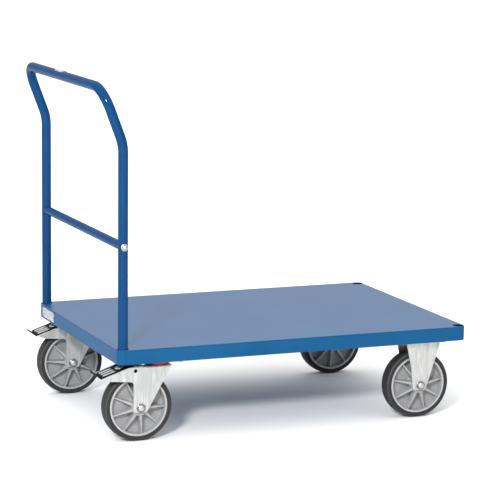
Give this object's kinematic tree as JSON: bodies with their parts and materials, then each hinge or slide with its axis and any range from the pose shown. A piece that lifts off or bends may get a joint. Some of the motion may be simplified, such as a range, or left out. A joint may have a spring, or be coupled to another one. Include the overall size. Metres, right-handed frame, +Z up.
{
  "type": "flatbed platform truck",
  "caption": "Flat platform truck with a bent-tube push handle, braked swivel casters at the handle end and fixed casters at the front.",
  "frame": {"origin": "on the floor under the middle of the bounding box", "axes": "+X is the way the truck is pushed, away from the handle; +Y is the left side as seen from the handle; +Z is up"},
  "size_m": [1.0517, 0.7118, 0.9458],
  "materials": {
    "blue_frame": "glossy blue powder coat on steel sheet and tube",
    "zinc_plate": "bright zinc-plated pressed steel",
    "bare_steel": "plain steel, slightly oiled",
    "wheel_grey": "grey moulded polyamide",
    "tyre": "dark grey non-marking elastomer",
    "red_ring": "dark red moulded plastic",
    "black_pedal": "black-coated steel with worn bright ribs",
    "label": "plain off-white film"
  },
  "bodies": {
    "frame": {"deck_plate": "blue_frame", "end_rail_rear": "blue_frame", "end_rail_front": "blue_frame", "side_rail_left": "blue_frame", "side_rail_right": "blue_frame", "corner_socket_rear_left": "blue_frame", "corner_socket_rear_right": "blue_frame", "caster_bearer_rear": "blue_frame", "corner_socket_front_left": "blue_frame", "corner_socket_front_right": "blue_frame", "caster_bearer_front": "blue_frame", "deck_stiffener": "blue_frame", "push_handle": "blue_frame", "handle_strut": "blue_frame", "strut_bolt_left": "zinc_plate", "strut_bolt_right": "zinc_plate", "rating_plate": "label", "handle_label": "label", "rear_left_top_plate": "zinc_plate", "rear_left_king_pin": "bare_steel", "rear_right_top_plate": "zinc_plate", "rear_right_king_pin": "bare_steel", "front_left_fork": "zinc_plate", "front_left_axle_bolt": "zinc_plate", "front_left_axle_nut": "zinc_plate", "front_left_axle_tube": "bare_steel", "front_right_fork": "zinc_plate", "front_right_axle_bolt": "zinc_plate", "front_right_axle_nut": "zinc_plate", "front_right_axle_tube": "bare_steel"},
    "swivel_left": {"rear_left_fork": "zinc_plate", "rear_left_swivel_bearing": "bare_steel", "rear_left_dust_ring": "red_ring", "rear_left_axle_bolt": "zinc_plate", "rear_left_axle_nut": "zinc_plate", "rear_left_axle_tube": "bare_steel", "rear_left_pedal_pin": "bare_steel"},
    "pedal_left": {"rear_left_brake_pedal": "black_pedal"},
    "shoe_left": {"rear_left_brake_shoe": "bare_steel"},
    "wheel_rear_left": {"rear_left_wheel_bearing": "bare_steel", "rear_left_wheel_centre": "wheel_grey", "rear_left_tyre": "tyre"},
    "wheel_front_left": {"front_left_wheel_bearing": "bare_steel", "front_left_wheel_centre": "wheel_grey", "front_left_tyre": "tyre"},
    "swivel_right": {"rear_right_fork": "zinc_plate", "rear_right_swivel_bearing": "bare_steel", "rear_right_dust_ring": "red_ring", "rear_right_axle_bolt": "zinc_plate", "rear_right_axle_nut": "zinc_plate", "rear_right_axle_tube": "bare_steel", "rear_right_pedal_pin": "bare_steel"},
    "pedal_right": {"rear_right_brake_pedal": "black_pedal"},
    "shoe_right": {"rear_right_brake_shoe": "bare_steel"},
    "wheel_rear_right": {"rear_right_wheel_bearing": "bare_steel", "rear_right_wheel_centre": "wheel_grey", "rear_right_tyre": "tyre"},
    "wheel_front_right": {"front_right_wheel_bearing": "bare_steel", "front_right_wheel_centre": "wheel_grey", "front_right_tyre": "tyre"}
  },
  "joints": [
    {"name": "rear_left_swivel", "type": "hinge", "parent": "frame", "child": "swivel_left", "pos_m": [-0.34931, 0.2896, 0.2], "axis": [0, 0, 1], "continuous": true},
    {"name": "rear_left_wheel_spin", "type": "hinge", "parent": "swivel_left", "child": "wheel_rear_left", "pos_m": [-0.40431, 0.2896, 0.0925], "axis": [0, 1, 0], "continuous": true},
    {"name": "rear_left_brake_pedal", "type": "hinge", "parent": "swivel_left", "child": "pedal_left", "pos_m": [-0.41951, 0.2896, 0.1925], "axis": [0, -1, 0], "range_deg": [0, 6]},
    {"name": "rear_left_brake_shoe", "type": "slide", "parent": "swivel_left", "child": "shoe_left", "axis": [0.4226, 0, -0.9063], "range_m": [0, 0.0032]},
    {"name": "front_left_wheel_spin", "type": "hinge", "parent": "frame", "child": "wheel_front_left", "pos_m": [0.40249, 0.2896, 0.0925], "axis": [0, 1, 0], "continuous": true},
    {"name": "rear_right_swivel", "type": "hinge", "parent": "frame", "child": "swivel_right", "pos_m": [-0.34931, -0.2896, 0.2], "axis": [0, 0, 1], "continuous": true},
    {"name": "rear_right_wheel_spin", "type": "hinge", "parent": "swivel_right", "child": "wheel_rear_right", "pos_m": [-0.40431, -0.2896, 0.0925], "axis": [0, 1, 0], "continuous": true},
    {"name": "rear_right_brake_pedal", "type": "hinge", "parent": "swivel_right", "child": "pedal_right", "pos_m": [-0.41951, -0.2896, 0.1925], "axis": [0, -1, 0], "range_deg": [0, 6]},
    {"name": "rear_right_brake_shoe", "type": "slide", "parent": "swivel_right", "child": "shoe_right", "axis": [0.4226, 0, -0.9063], "range_m": [0, 0.0032]},
    {"name": "front_right_wheel_spin", "type": "hinge", "parent": "frame", "child": "wheel_front_right", "pos_m": [0.40249, -0.2896, 0.0925], "axis": [0, 1, 0], "continuous": true}
  ],
  "couplings": [
    {"joint": "rear_left_brake_shoe", "follows": "rear_left_brake_pedal", "m_per_rad": 0.03},
    {"joint": "rear_right_brake_shoe", "follows": "rear_right_brake_pedal", "m_per_rad": 0.03}
  ]
}
